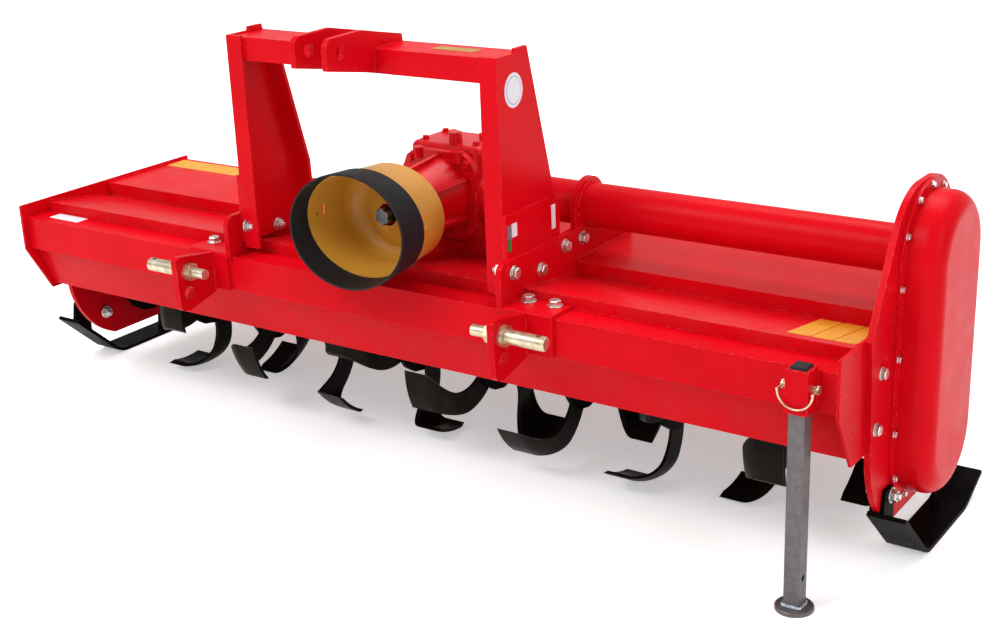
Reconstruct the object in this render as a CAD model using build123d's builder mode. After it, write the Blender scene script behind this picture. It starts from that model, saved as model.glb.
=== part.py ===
"""Rotary tiller for a tractor's three-point hitch, parked on its two skids and its front leg.

Millimetres. X runs to the drive-case end, Y to the rear, Z up. While a piece is drawn, depths are
measured from the front face of the main beam, widths from the middle of the rotor and heights from
the ground; save() then moves it so that the origin lies under the middle of the whole machine.
"""
import os
from math import atan2, cos, hypot, sin

from build123d import *

os.makedirs("parts", exist_ok=True)

# ---------------------------------------------------------------- driving dimensions
seat_gap = 0.3          # play round a fixed round piece in its hole
running_gap = 0.05      # radial play of a shaft in its bearing

# frame: beam, hood, end plates and side plates
working_half = 1025.0   # middle of the rotor to the inner face of an end plate
beam_depth = 72.0
beam_height = 75.0
beam_wall = 5.0
beam_top = 450.0
hood_sheet = 5.0
hood_lip = 24.0         # height of the hood's front lip over the beam
valley_y = 262.0
valley_drop = 31.0      # fall of the hood from its lip to the valley
ridge_rise = 32.0       # step from the valley up to the flat rear of the hood
ridge_lean = 5.0
hood_rear = 526.0
skirt_height = 55.0
apron_sheet = 5.0
apron_front = 17.0      # clear of the leg's foot when it is drawn up under the beam
apron_height = 103.0
apron_sweep = 38.0
end_plate_t = 6.0
end_plate_nose = 16.0   # how far an end plate stands out in front of the beam
end_plate_over = 32.0   # height of an end plate over the beam
end_plate_low = 262.0
end_plate_chin = 8.0    # how far an end plate stands out in front of the apron's foot
end_plate_rear = 534.0
side_plate_t = 12.0
side_plate_half = 216.0
side_plate_low = 86.0
side_plate_round = 201.0
side_plate_dip = 69.0   # level that the round lower corners would reach without the flat
case_shoulder_half = 232.0
case_shoulder_z = 480.0
case_waist_z = 275.0
case_plate_top = 714.0
case_plate_flat = 197.0
case_plate_round = 130.0

# rotor
rotor_y = 320.0
rotor_z = 216.0
tip_radius = 207.0
rotor_tube_r = 40.0
rotor_tube_wall = 8.0
rotor_end_play = 25.0   # end of the rotor's tube to an end plate
flange_count = 10
flange_end = 12.0       # end of the tube to the middle of the nearest flange
flange_r = 88.0
flange_t = 10.0
blades_per_flange = 4
helix_step = 27.0       # turn of each flange against its neighbour, degrees
blade_t = 8.0
blade_wing = 102.0      # width of a blade's wing along the rotor
blade_bend_r = 52.0
blade_bolt_r = 68.0     # radius of the middle of a blade's root
blade_root = 50.0
blade_root_shift = 4.0
blade_sweep_start = 35.0   # degrees from level to the start of a blade's sweep
blade_sweep = 90.0
# Corners and middles of a blade's sickle outline: along the sweep, then out from the rotor's axis.
blade_lead_mid = (70.0, 140.0)
blade_lead_neck = (150.0, 143.0)
blade_lead_tip = (195.0, 170.0)
blade_trail_tip = (118.0, 202.0)
blade_trail_mid = (22.0, 168.0)
stub_r = 25.0
stub_flange_r = 64.0
stub_flange_t = 10.0
bearing_barrel_r = 45.0
bearing_flange_r = 72.0
bearing_flange_t = 12.0
bearing_reach = 32.0    # barrel's length outside the side plate
bearing_cap_t = 5.0

# drive case at the end of the rotor
drive_z = 578.0
drive_tube_r = 45.0
drive_tube_wall = 6.0
cover_r = 118.0
cover_low_z = 238.0
cover_depth = 73.0
cover_wall = 5.0
cover_edge_r = 35.0
cover_lip_w = 16.0
cover_lip_t = 8.0

# hitch
hitch_x = -12.0
bracket_t = 12.0
bracket_outer = 358.0   # middle of the hitch to the outer face of a main bracket
bracket_height = 90.0
bracket_front = 8.0
bracket_rear = 488.0
bracket_eye_r = 58.0
doubler_t = 8.0
doubler_height = 174.0
tower_wall = 8.0
tower_flange = 40.0
tower_front = 34.0
tower_top = 922.0
tower_foot = 478.0
tower_toe = 466.0
tower_rear = 222.0
tower_knee_y = 218.0
tower_knee_z = 621.0
tower_head = 135.0      # depth of the tower's head at its rear corner
tower_ear = 8.0
tower_ear_length = 38.0
tower_ear_slope = 2.0
tower_toe_gap = 9.0     # tower's toe to the hood's front lip
tower_heel_gap = 5.0
tower_flange_gap = 6.0  # rear flange's upper end below the crossbar
crossbar_drop = 3.0     # top of the crossbar below the tower's top
crossbar_height = 48.0
crossbar_rear = 138.0
crossbar_wall = 5.0
clevis_gap = 66.0
clevis_t = 12.0
clevis_nose = 97.0
clevis_rise = 38.0      # clevis over the crossbar
clevis_hole_y = -57.0
clevis_hole_rise = 8.0
clevis_hole_r = 12.95
clevis_nose_drop = 21.0    # nose's lower corner below the crossbar's top
clevis_chin_y = 15.0
clevis_chin_rise = 6.0
clevis_crest_y = 11.0
clevis_crest_rise = 2.0
clevis_tail_inset = (3.0, 5.0)
clevis_tail_rise = 15.0
strap_t = 8.0
strap_outer = 470.0
strap_bend = 0.75       # share of the strap's thickness that rounds its outer bend
lower_span = 825.0      # over the outer faces of the two hitch plates
hitch_plate_t = 14.0
hitch_plate_nose = 118.0
hitch_plate_top = 474.0
hitch_plate_low = 348.0
hitch_plate_heel = 6.0
hitch_plate_lean = 5.0
hitch_plate_toe = 31.0
hitch_plate_tail = 8.0
hitch_plate_round = 14.0
pin_y = -86.0
pin_z = 436.0
pin_r = 14.2
pin_reach = 96.0
pin_collar_r = 21.0
pin_collar_t = 10.0
pin_nut_r = 19.0
pin_nut_t = 20.0
pin_thread_r = 11.0
pin_tail = 53.0         # thread and nut inboard of the hitch plate
pin_cross_r = 5.5
pin_cross_inset = 16.0
pin_chamfer = 3.0
spare_hole_y = -86.0
spare_hole_z = 388.0
spare_hole_r = 13.0

# gearbox, input shaft and its guard; the input shaft meets the drive tube's axis
input_x = 22.0
gearbox_half = 91.0
gearbox_front = 263.0
gearbox_rear = 392.0
gearbox_height = 205.0
gearbox_edge_r = 20.0
gearbox_crown_r = 15.0
foot_t = 12.0
foot_over = 18.0
face_t = 18.0
face_width = 184.0
face_height = 186.0
face_round = 46.0
boss_r = 11.0           # upright bosses on the upper corners of the gearbox's face
boss_height = 24.0
boss_side = 52.0
boss_low = 73.0         # boss's foot over the input shaft
neck_front_r = 58.0
neck_rear_r = 80.0
neck_front = 102.0
neck_flange_r = 84.0
neck_flange_t = 12.0
neck_rib_count = 6
neck_rib_t = 9.0
neck_rib_reach = 96.0
nose_r = 26.0
nose_reach = 20.0
output_boss_r = 74.0
output_boss_t = 18.0
output_boss_root = 10.0
plug_places = ((16.0, 288.0), (48.0, 345.0), (-38.0, 352.0))
plug_sizes = ((14.0, 24.0), (10.0, 12.0), (9.0, 9.0))
guard_half_w = 120.0    # half width of the guard at its rear wall
guard_half_h = 101.0
guard_flare_w = 0.145   # growth of the half width for each millimetre to the front
guard_flare_h = 0.045
guard_wall = 3.0
guard_front = -20.0
guard_corner_r = 10.0   # rounding of the guard's rear corner, outside and inside
guard_hollow_r = 34.0
guard_dish_r = 80.0
guard_eye_r = 23.0
guard_dish_depth = 32.0
guard_slot_y = 18.0
guard_slot_rise = 8.0
guard_slot_length = 24.0
guard_slot_w = 6.0
guard_hole_y = 4.0
guard_hole_rise = 1.0
guard_hole_r = 3.0
sleeve_wall = 4.0
sleeve_rear = 6.0
sleeve_front = -70.0
sleeve_lean = 0.12      # slope of the sleeve's front edge: it leans back at the top
sleeve_turn = 0.05      # and forward towards the drive case
shaft_r = 17.5
shaft_tip = 47.0
shaft_spline_w = 8.6
shaft_spline_depth = 2.8
shaft_rear = 236.0
shaft_end_gap = 4.0

# parking leg
leg_inset = 62.0        # middle of the leg to the inner face of an end plate
leg_side = 30.0
leg_wall = 3.0
leg_top = 460.0
leg_play = 0.3
leg_cap_t = 5.0
leg_foot_r = 35.0
leg_foot_t = 8.0
leg_travel = 360.0      # between the leg's two pin holes
leg_edge = 2.0
socket_wall = 5.7
socket_top = 459.0
socket_height = 79.0
leg_pin_r = 6.0
leg_pin_drop = 35.0     # pin below the top of the socket
leg_pin_stand = 13.0    # pin's ends beyond the socket
leg_pin_head_r = 8.0
clip_wire_r = 1.8
clip_gap = 5.0          # wire in front of the socket

# skids
skid_t = 9.0
skid_width = 74.0
skid_inset = 9.0        # skid's inner edge inboard of the side plate
skid_offset_left = 62.0    # extra stand-off of the left skid, clear of the open bearing
spacer_r = 15.0
skid_front_y = 152.0
skid_front_z = 122.0
skid_heel_y = 280.0
skid_tail_y = 500.0
skid_end_y = 590.0
skid_end_z = 42.0
skid_bend_r = 70.0
lug_t = 8.0
lug_bolt_y = 196.0
lug_bolt_z = 151.0
lug_r = 17.0
lug_brow = 26.0         # front upper corner of a lug ahead of its bolt
lug_seat_shares = (0.03, 0.42)   # ends of a lug's seat along the skid's front slope
tail_link_t = 8.0
tail_link_w = 36.0
tail_bolt_y = 478.0
tail_bolt_z = 190.0
tail_foot_ahead = 40.0
skid_bolt_r = 8.0

# rear board
board_play = 13.0       # end of the board to an end plate
board_sheet = 4.0
hinge_y = 552.0
hinge_z = 440.0
hinge_rod_r = 8.0
hinge_barrel_r = 13.0
hinge_lug_t = 8.0
hinge_lug_play = 6.0
hinge_lug_count = 5
hinge_lug_inset = 12.0  # middle of an end lug to the end of the board
board_knee_y = 600.0
board_knee_z = 250.0
board_low_y = 640.0
board_low_z = 60.0
board_lip_y = 655.0
board_lip_z = 24.0

# ---------------------------------------------------------------- worked out from the above
input_z = drive_z
rotor_tube_half = working_half - rotor_end_play
board_half = working_half - board_play
leg_x = working_half - leg_inset
crossbar_top = tower_top - crossbar_drop
clevis_top = crossbar_top + clevis_rise
clevis_hole_z = crossbar_top + clevis_hole_rise
beam_bottom = beam_top - beam_height
lip_y = beam_depth - hood_sheet
lip_z = beam_top + hood_lip
valley_z = lip_z - valley_drop
ridge_z = valley_z + ridge_rise
ridge_y = valley_y - ridge_lean
side_inner = working_half + end_plate_t
side_outer = side_inner + side_plate_t
cover_outer = side_outer + cover_depth
skid_inner = side_inner - skid_inset
skid_outer = skid_inner + skid_width
doubler_outer = bracket_outer - bracket_t
tower_outer = doubler_outer - doubler_t
hitch_face = lower_span / 2
socket_side = leg_side + 2 * (leg_play + socket_wall)
leg_y = -socket_side / 2
centre_x = (cover_outer - skid_outer - skid_offset_left) / 2
centre_y = (board_lip_y + board_sheet - hitch_plate_nose) / 2


def across(x):
    """Plane square to the rotor at x, with its axes to the rear and up."""
    return Plane.YZ.offset(x)


def facing(y):
    """Plane across the machine at depth y, with its axes to the drive-case end and up."""
    return Plane.XZ.offset(-y)


def save(piece, name):
    """Label a finished piece, move it over the middle of the footprint and write its file."""
    placed = piece.moved(Location((-centre_x, -centre_y, 0)))
    placed.label = name
    export_step(placed, f"parts/{name}.step")


def plate(outline, start, thickness, round_points=(), radius=0.0):
    """Plate square to the rotor from start along X, with the named corners rounded."""
    with BuildPart() as piece:
        with BuildSketch(across(start)) as face:
            with BuildLine():
                Polyline(*outline, close=True)
            make_face()
            corners = [v for v in face.vertices() if near_any(v, round_points)]
            if corners:
                fillet(corners, radius=radius)
        extrude(amount=thickness)
    return piece.part


def near_any(vertex, points):
    """Whether a sketch vertex lies on one of the points, given in the sketch's own axes."""
    return any(hypot(vertex.X - x, vertex.Y - y) < 0.01 for x, y in points)


# ---------------------------------------------------------------- frame
with BuildPart() as front_beam:
    with BuildSketch(across(-working_half)):
        with Locations((beam_depth / 2, beam_top - beam_height / 2)):
            Rectangle(beam_depth, beam_height)
            Rectangle(beam_depth - 2 * beam_wall, beam_height - 2 * beam_wall, mode=Mode.SUBTRACT)
    extrude(amount=2 * working_half)
save(front_beam.part, "front_beam")

# The hood is one folded sheet; this line is its outer surface from the front lip to the rear skirt.
hood_line = [
    (lip_y, beam_top),
    (lip_y, lip_z),
    (valley_y, valley_z),
    (ridge_y, ridge_z),
    (hood_rear, ridge_z),
    (hood_rear, ridge_z - skirt_height),
]
with BuildPart() as hood_panel:
    with BuildSketch(across(-working_half)):
        with BuildLine():
            Polyline(*hood_line)
            offset(amount=hood_sheet, side=Side.RIGHT, kind=Kind.INTERSECTION)
        make_face()
    extrude(amount=2 * working_half)
save(hood_panel.part, "hood_panel")

apron_thick = apron_sheet * hypot(apron_sweep, apron_height) / apron_height
apron_line = [
    (apron_front, beam_bottom),
    (apron_front + apron_thick, beam_bottom),
    (apron_front + apron_sweep + apron_thick, beam_bottom - apron_height),
    (apron_front + apron_sweep, beam_bottom - apron_height),
]
save(plate(apron_line, -working_half, 2 * working_half), "front_apron")

end_plate_line = [
    (-end_plate_nose, beam_top + end_plate_over),
    (-end_plate_nose, beam_bottom),
    (apron_front + apron_sweep - end_plate_chin, end_plate_low),
    (end_plate_rear, end_plate_low),
    (end_plate_rear, beam_top + end_plate_over),
]
for name, start in (("end_plate_left", -side_inner), ("end_plate_right", working_half)):
    with BuildPart() as end_plate:
        add(plate(end_plate_line, start, end_plate_t))
        with BuildSketch(across(start)):
            with Locations((rotor_y, end_plate_low)):
                Circle(bearing_flange_r, mode=Mode.ADD)
        extrude(amount=end_plate_t)
        with BuildSketch(across(start)):
            with Locations((rotor_y, rotor_z)):
                Circle(bearing_barrel_r + seat_gap)
        extrude(amount=end_plate_t, mode=Mode.SUBTRACT)
    save(end_plate.part, name)


def side_plate(start, top):
    """Thick plate that carries a rotor bearing; top is its upper outline from rear to front."""
    front = rotor_y - side_plate_half
    rear = rotor_y + side_plate_half
    with BuildPart() as piece:
        with BuildSketch(across(start)) as face:
            with BuildLine():
                Polyline(*top, (front, side_plate_dip), (rear, side_plate_dip), close=True)
            make_face()
            dips = [(front, side_plate_dip), (rear, side_plate_dip)]
            fillet([v for v in face.vertices() if near_any(v, dips)], radius=side_plate_round)
            high = [v for v in face.vertices() if v.Y > case_plate_top - 1]
            if high:
                fillet(high, radius=case_plate_round)
            with Locations((rotor_y, (side_plate_low + side_plate_dip) / 2)):
                Rectangle(2 * side_plate_half + 2, side_plate_low - side_plate_dip, mode=Mode.SUBTRACT)
            with Locations((rotor_y, rotor_z)):
                Circle(bearing_barrel_r + seat_gap, mode=Mode.SUBTRACT)
            with Locations((lug_bolt_y, lug_bolt_z), (tail_bolt_y, tail_bolt_z)):
                Circle(skid_bolt_r + seat_gap, mode=Mode.SUBTRACT)
        extrude(amount=side_plate_t)
    return piece.part


left_top = [
    (rotor_y + side_plate_half, beam_bottom),
    (rotor_y - side_plate_half, beam_bottom),
]
save(side_plate(-side_outer, left_top), "side_plate_left")
right_top = [
    (rotor_y + side_plate_half, case_waist_z),
    (rotor_y + case_shoulder_half, case_shoulder_z),
    (rotor_y + case_plate_flat / 2, case_plate_top),
    (rotor_y - case_plate_flat / 2, case_plate_top),
    (rotor_y - case_shoulder_half, case_shoulder_z),
    (rotor_y - side_plate_half, case_waist_z),
]
save(side_plate(side_inner, right_top), "side_plate_right")

# ---------------------------------------------------------------- drive case
case_mid_z = (drive_z + cover_low_z) / 2
case_span = drive_z - cover_low_z


def case_slot(radius):
    """Upright slot round both ends of the drive case, drawn in the current sketch."""
    with Locations((rotor_y, case_mid_z)):
        SlotCenterToCenter(case_span, 2 * radius, rotation=90)


with BuildPart() as drive_case_cover:
    with BuildSketch(across(side_outer)):
        case_slot(cover_r)
    extrude(amount=cover_depth)
    fillet(drive_case_cover.faces().sort_by(Axis.X)[-1].edges(), radius=cover_edge_r)
    with BuildSketch(across(side_outer)):
        case_slot(cover_r + cover_lip_w)
    extrude(amount=cover_lip_t)
    offset(amount=-cover_wall, openings=drive_case_cover.faces().sort_by(Axis.X)[0])
save(drive_case_cover.part, "drive_case_cover")

tube_start = input_x + gearbox_half + output_boss_t
with BuildPart() as drive_tube:
    with BuildSketch(across(tube_start)):
        with Locations((rotor_y, drive_z)):
            Circle(drive_tube_r)
            Circle(drive_tube_r - drive_tube_wall, mode=Mode.SUBTRACT)
    extrude(amount=side_inner - tube_start)
save(drive_tube.part, "drive_tube")


def rotor_bearing(side):
    """Flanged bearing of the rotor outside a side plate: side is 1 at the drive case, -1 opposite."""
    with BuildPart() as piece:
        with BuildSketch(across(side * side_outer)):
            with Locations((rotor_y, rotor_z)):
                Circle(bearing_flange_r)
        extrude(amount=side * bearing_flange_t)
        with BuildSketch(across(side * working_half)):
            with Locations((rotor_y, rotor_z)):
                Circle(bearing_barrel_r)
        extrude(amount=side * (side_outer + bearing_reach - working_half))
        with BuildSketch(across(side * working_half)):
            with Locations((rotor_y, rotor_z)):
                Circle(stub_r + running_gap)
        extrude(amount=side * (side_outer + bearing_reach - working_half - bearing_cap_t), mode=Mode.SUBTRACT)
    return piece.part


save(rotor_bearing(-1), "rotor_bearing_left")
save(rotor_bearing(1), "rotor_bearing_right")

# ---------------------------------------------------------------- hitch
bracket_top = beam_top + bracket_height
bracket_line = [
    (-bracket_front, beam_top),
    (lip_y, beam_top),
    (lip_y, lip_z),
    (valley_y, valley_z),
    (ridge_y, ridge_z),
    (bracket_rear, ridge_z),
    (bracket_rear, bracket_top),
    (-bracket_front, bracket_top),
]
bracket_corners = [(bracket_rear, bracket_top), (-bracket_front, bracket_top)]
bracket_round = 22.0
save(
    plate(bracket_line, hitch_x - bracket_outer, bracket_t, bracket_corners, bracket_round),
    "main_bracket_left",
)

# The right-hand bracket rises to an eye that carries the drive tube.
bracket_right_x = hitch_x + bracket_outer - bracket_t
with BuildPart() as main_bracket_right:
    add(plate(bracket_line, bracket_right_x, bracket_t, bracket_corners, bracket_round))
    with BuildSketch(across(bracket_right_x)):
        with Locations((rotor_y, drive_z)):
            Circle(bracket_eye_r)
        with Locations((rotor_y, (ridge_z + bracket_height / 2 + drive_z) / 2)):
            Rectangle(2 * bracket_eye_r, drive_z - ridge_z - bracket_height / 2)
    extrude(amount=bracket_t)
    with BuildSketch(across(bracket_right_x)):
        with Locations((rotor_y, drive_z)):
            Circle(drive_tube_r + seat_gap)
    extrude(amount=bracket_t, mode=Mode.SUBTRACT)
save(main_bracket_right.part, "main_bracket_right")

doubler_line = [
    (tower_front, tower_foot),
    (tower_rear, tower_foot),
    (tower_rear, beam_top + doubler_height),
    (tower_front, beam_top + doubler_height),
]
doubler_corner = [(tower_rear, beam_top + doubler_height)]
doubler_round = 45.0
for name, start in (
    ("tower_doubler_left", hitch_x - doubler_outer),
    ("tower_doubler_right", hitch_x + tower_outer),
):
    save(plate(doubler_line, start, doubler_t, doubler_corner, doubler_round), name)

crossbar_bottom = crossbar_top - crossbar_height
tower_web_line = [
    (tower_front, tower_toe),
    (lip_y - tower_toe_gap, tower_toe),
    (lip_y - tower_heel_gap, tower_foot),
    (tower_rear, tower_foot),
    (tower_knee_y, tower_knee_z),
    (tower_head, tower_top + tower_ear),
    (tower_head - tower_ear_length, tower_top + tower_ear),
    (tower_head - tower_ear_length - tower_ear_slope, tower_top),
    (tower_front, tower_top),
]
flange_end_z = crossbar_bottom - tower_flange_gap
flange_share = (tower_top + tower_ear - flange_end_z) / (tower_top + tower_ear - tower_knee_z)
flange_end_y = tower_head + (tower_knee_y - tower_head) * flange_share
tower_flange_line = [
    (tower_rear, tower_foot),
    (tower_knee_y, tower_knee_z),
    (flange_end_y, flange_end_z),
    (flange_end_y - tower_wall, flange_end_z),
    (tower_knee_y - tower_wall, tower_knee_z),
    (tower_rear - tower_wall, tower_foot),
]
tower_lip_line = [
    (tower_front, tower_toe),
    (tower_front + tower_wall, tower_toe),
    (tower_front + tower_wall, tower_top),
    (tower_front, tower_top),
]


def tower(side):
    """Upright of pressed channel, open inboard: side is 1 at the drive-case end, -1 opposite."""
    web_start = hitch_x + (tower_outer - tower_wall if side > 0 else -tower_outer)
    lip_start = hitch_x + (tower_outer - tower_flange if side > 0 else -tower_outer)
    with BuildPart() as piece:
        add(plate(tower_web_line, web_start, tower_wall))
        add(plate(tower_lip_line, lip_start, tower_flange))
        add(plate(tower_flange_line, lip_start, tower_flange))
    return piece.part


save(tower(-1), "tower_left")
save(tower(1), "tower_right")

crossbar_front = tower_front + tower_wall
crossbar_depth = crossbar_rear - crossbar_front
crossbar_half = tower_outer - tower_wall
with BuildPart() as tower_crossbar:
    with BuildSketch(across(hitch_x - crossbar_half)):
        with Locations((crossbar_front + crossbar_depth / 2, crossbar_top - crossbar_height / 2)):
            Rectangle(crossbar_depth, crossbar_height)
            Rectangle(
                crossbar_depth - 2 * crossbar_wall, crossbar_height - 2 * crossbar_wall, mode=Mode.SUBTRACT
            )
    extrude(amount=2 * crossbar_half)
save(tower_crossbar.part, "tower_crossbar")

# Two ears over and in front of the crossbar take the top link between them.
clevis_line = [
    (-clevis_nose, crossbar_top - clevis_nose_drop),
    (clevis_chin_y, crossbar_bottom + clevis_chin_rise),
    (crossbar_front, crossbar_bottom),
    (crossbar_front, crossbar_top),
    (crossbar_rear - clevis_tail_inset[0], crossbar_top),
    (crossbar_rear - clevis_tail_inset[1], crossbar_top + clevis_tail_rise),
    (clevis_crest_y, clevis_top + clevis_crest_rise),
    (-clevis_nose, clevis_top),
]
clevis_corner_r = 20.0
with BuildPart() as top_link_clevis:
    for start in (hitch_x - clevis_gap / 2 - clevis_t, hitch_x + clevis_gap / 2):
        add(plate(clevis_line, start, clevis_t, [(-clevis_nose, clevis_top)], clevis_corner_r))
    with BuildSketch(across(hitch_x - clevis_gap / 2 - clevis_t)):
        with Locations((clevis_hole_y, clevis_hole_z)):
            Circle(clevis_hole_r)
    extrude(amount=clevis_gap + 2 * clevis_t, mode=Mode.SUBTRACT)
save(top_link_clevis.part, "top_link_clevis")

strap_width = strap_outer - bracket_outer
strap_line = [
    (-strap_t, beam_bottom),
    (0, beam_bottom),
    (0, beam_top),
    (lip_y, beam_top),
    (lip_y, beam_top + strap_t),
    (-strap_t, beam_top + strap_t),
]
strap_corner = [(-strap_t, beam_top + strap_t)]
hitch_plate_line = [
    (-strap_t, beam_top + hitch_plate_heel),
    (-hitch_plate_nose, hitch_plate_top),
    (-hitch_plate_nose + hitch_plate_lean, hitch_plate_low + hitch_plate_lean),
    (-hitch_plate_nose + hitch_plate_toe, hitch_plate_low),
    (-strap_t, beam_bottom - hitch_plate_tail),
]
hitch_plate_corner = hitch_plate_line[1:3]
for name, side in (("left", -1), ("right", 1)):
    strap_start = hitch_x + (bracket_outer if side > 0 else -strap_outer)
    save(plate(strap_line, strap_start, strap_width, strap_corner, strap_t * strap_bend), f"hitch_strap_{name}")

    plate_start = hitch_x + (hitch_face - hitch_plate_t if side > 0 else -hitch_face)
    with BuildPart() as hitch_plate:
        add(plate(hitch_plate_line, plate_start, hitch_plate_t, hitch_plate_corner, hitch_plate_round))
        with BuildSketch(across(plate_start)):
            with Locations((pin_y, pin_z)):
                Circle(pin_r + seat_gap)
            with Locations((spare_hole_y, spare_hole_z)):
                Circle(spare_hole_r)
        extrude(amount=hitch_plate_t, mode=Mode.SUBTRACT)
    save(hitch_plate.part, f"hitch_plate_{name}")

    face_x = hitch_x + side * hitch_face
    back_x = face_x - side * hitch_plate_t
    with BuildPart() as hitch_pin:
        for start, length, radius in (
            (back_x, hitch_plate_t + pin_reach, pin_r),
            (face_x, pin_collar_t, pin_collar_r),
            (back_x, -pin_tail, pin_thread_r),
        ):
            with BuildSketch(across(start)):
                with Locations((pin_y, pin_z)):
                    Circle(radius)
            extrude(amount=side * length)
        with BuildSketch(across(back_x)):
            with Locations((pin_y, pin_z)):
                RegularPolygon(radius=pin_nut_r, side_count=6)
        extrude(amount=-side * pin_nut_t)
        chamfer(
            hitch_pin.edges().filter_by(GeomType.CIRCLE).sort_by(Axis.X)[-1 if side > 0 else 0],
            length=pin_chamfer,
        )
        with BuildSketch(Plane.XY.offset(pin_z)):
            with Locations((face_x + side * (pin_reach - pin_cross_inset), pin_y)):
                Circle(pin_cross_r)
        extrude(amount=pin_r + 1, both=True, mode=Mode.SUBTRACT)
    save(hitch_pin.part, f"hitch_pin_{name}")

# ---------------------------------------------------------------- gearbox and input
gearbox_top = ridge_z + gearbox_height
gearbox_depth = gearbox_rear - gearbox_front
face_front = gearbox_front - face_t
neck_length = face_front - neck_front
with BuildPart() as gearbox_housing:
    with BuildSketch(Plane.XY.offset(ridge_z)):
        with Locations((input_x, gearbox_front + gearbox_depth / 2)):
            RectangleRounded(2 * gearbox_half, gearbox_depth, gearbox_edge_r)
    extrude(amount=gearbox_height)
    fillet(gearbox_housing.faces().sort_by(Axis.Z)[-1].edges(), radius=gearbox_crown_r)
    with BuildSketch(Plane.XY.offset(ridge_z)):
        with Locations((input_x, gearbox_front + (gearbox_depth + foot_over) / 2)):
            Rectangle(2 * (gearbox_half + foot_over), gearbox_depth + foot_over)
    extrude(amount=foot_t)
    with BuildSketch(facing(face_front)):
        with Locations((input_x, input_z)):
            RectangleRounded(face_width, face_height, face_round)
    extrude(amount=-face_t)
    with BuildSketch(Plane.XY.offset(input_z + boss_low)):
        with Locations((input_x - boss_side, face_front), (input_x + boss_side, face_front)):
            Circle(boss_r)
    extrude(amount=boss_height)
    for side in (-1, 1):
        with BuildSketch(across(input_x + side * (gearbox_half - output_boss_root))):
            with Locations((rotor_y, drive_z)):
                Circle(output_boss_r)
        extrude(amount=side * (output_boss_root + output_boss_t))
    with BuildSketch(facing(face_front - boss_r)):
        with Locations((input_x, input_z)):
            Circle(shaft_r + running_gap)
    extrude(amount=-(shaft_rear + shaft_end_gap - face_front + boss_r), mode=Mode.SUBTRACT)
save(gearbox_housing.part, "gearbox_housing")

# Cast snout in front of the gearbox: a cone with ribs, its front flange and the seal's nose.
neck_rib_line = [
    (0, neck_front + neck_flange_t),
    (neck_flange_r - neck_rib_t, neck_front + neck_flange_t),
    (neck_rib_reach - neck_rib_t, face_front),
    (0, face_front),
]
with BuildPart() as neck_rib:
    with BuildSketch(Plane.XY.offset(input_z - neck_rib_t / 2)):
        with Locations((input_x, 0)):
            Polygon(*neck_rib_line, align=None)
    extrude(amount=neck_rib_t)
with BuildPart() as gearbox_neck:
    for y, radius in ((face_front, neck_rear_r), (neck_front, neck_front_r)):
        with BuildSketch(facing(y)):
            with Locations((input_x, input_z)):
                Circle(radius)
    loft(ruled=True)
    for i in range(neck_rib_count):
        add(neck_rib.part.rotate(Axis((input_x, 0, input_z), (0, 1, 0)), 360 / neck_rib_count * (i + 0.5)))
    for front, length, radius in (
        (neck_front, neck_flange_t, neck_flange_r),
        (neck_front - nose_reach, nose_reach, nose_r),
    ):
        with BuildSketch(facing(front)):
            with Locations((input_x, input_z)):
                Circle(radius)
        extrude(amount=-length)
    with BuildSketch(facing(neck_front - nose_reach)):
        with Locations((input_x, input_z)):
            Circle(shaft_r + running_gap)
    extrude(amount=-(neck_length + nose_reach), mode=Mode.SUBTRACT)
save(gearbox_neck.part, "gearbox_neck")

with BuildPart() as gearbox_plugs:
    for (x, y), (radius, height) in zip(plug_places, plug_sizes):
        with BuildSketch(Plane.XY.offset(gearbox_top)):
            with Locations((input_x + x, y)):
                Circle(radius)
        extrude(amount=height)
save(gearbox_plugs.part, "gearbox_plugs")


def guard_oval(y, grow):
    """Oval section of the guard's cone at depth y, moved out by grow, in the current sketch."""
    ahead = neck_front - y
    with Locations((input_x, input_z)):
        Ellipse(guard_half_w + guard_flare_w * ahead + grow, guard_half_h + guard_flare_h * ahead + grow)


def guard_cone(front, rear, grow, corner_r=0.0):
    """Solid length of the guard's cone between two depths, with its rear corner rounded."""
    with BuildPart() as cone:
        for y in (rear, front):
            with BuildSketch(facing(y)):
                guard_oval(y, grow)
        loft(ruled=True)
        if corner_r:
            fillet(cone.faces().sort_by(Axis.Y)[-1].edges(), radius=corner_r)
    return cone.part


with BuildPart() as guard_bowl:
    add(guard_cone(guard_front, neck_front, 0, guard_corner_r))
    hollow = guard_cone(guard_front - 1, neck_front - guard_wall, -guard_wall, guard_hollow_r)
    add(hollow, mode=Mode.SUBTRACT)
    with BuildSketch(facing(neck_front)):
        with Locations((input_x, input_z)):
            Circle(guard_dish_r)
    extrude(amount=guard_wall, mode=Mode.SUBTRACT)
    with BuildSketch(Plane.XY.offset(input_z)) as dish:
        with BuildLine():
            Polyline(
                (input_x + guard_dish_r, neck_front),
                (input_x + guard_eye_r, neck_front - guard_dish_depth),
                (input_x + guard_eye_r, neck_front - guard_dish_depth - guard_wall),
                (input_x + guard_dish_r, neck_front - guard_wall),
                close=True,
            )
        make_face()
    revolve(axis=Axis((input_x, 0, input_z), (0, 1, 0)))
    # Slot and hole for the chains that hold the driveline's shield, on both sides.
    with BuildSketch(across(input_x)):
        with Locations((guard_slot_y, input_z + guard_slot_rise)):
            SlotOverall(guard_slot_length, guard_slot_w, rotation=90)
        with Locations((guard_hole_y, input_z + guard_hole_rise)):
            Circle(guard_hole_r)
    extrude(amount=2 * guard_half_w, both=True, mode=Mode.SUBTRACT)
save(guard_bowl.part, "guard_bowl")

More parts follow.
